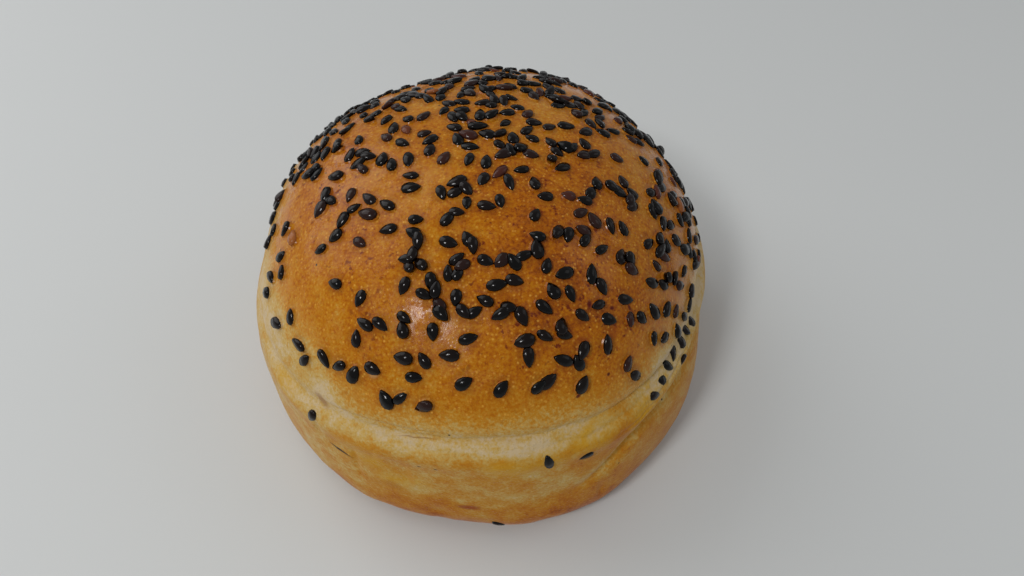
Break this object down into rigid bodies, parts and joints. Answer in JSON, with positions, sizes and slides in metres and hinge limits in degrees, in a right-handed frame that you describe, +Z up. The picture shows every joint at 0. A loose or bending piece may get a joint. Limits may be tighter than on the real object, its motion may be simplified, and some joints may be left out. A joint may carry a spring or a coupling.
{
  "type": "brioche burger bun",
  "caption": "Round glazed brioche burger bun, uncut, with a domed browned top scattered with black sesame seeds, a pale side band and a flat base.",
  "frame": {"origin": "centre of the flat base, on the surface that the bun stands on", "axes": "+Z up through the crown, -Y towards the front of the bun, +X towards its right side"},
  "size_m": [0.0892, 0.0942, 0.0547],
  "materials": {
    "crust": "egg-washed brioche crust, browned and softly glossy on top, paler and duller at the side",
    "sesame": "black sesame seeds under a thin glaze"
  },
  "bodies": {
    "root": {"bun": "crust"}
  },
  "joints": []
}
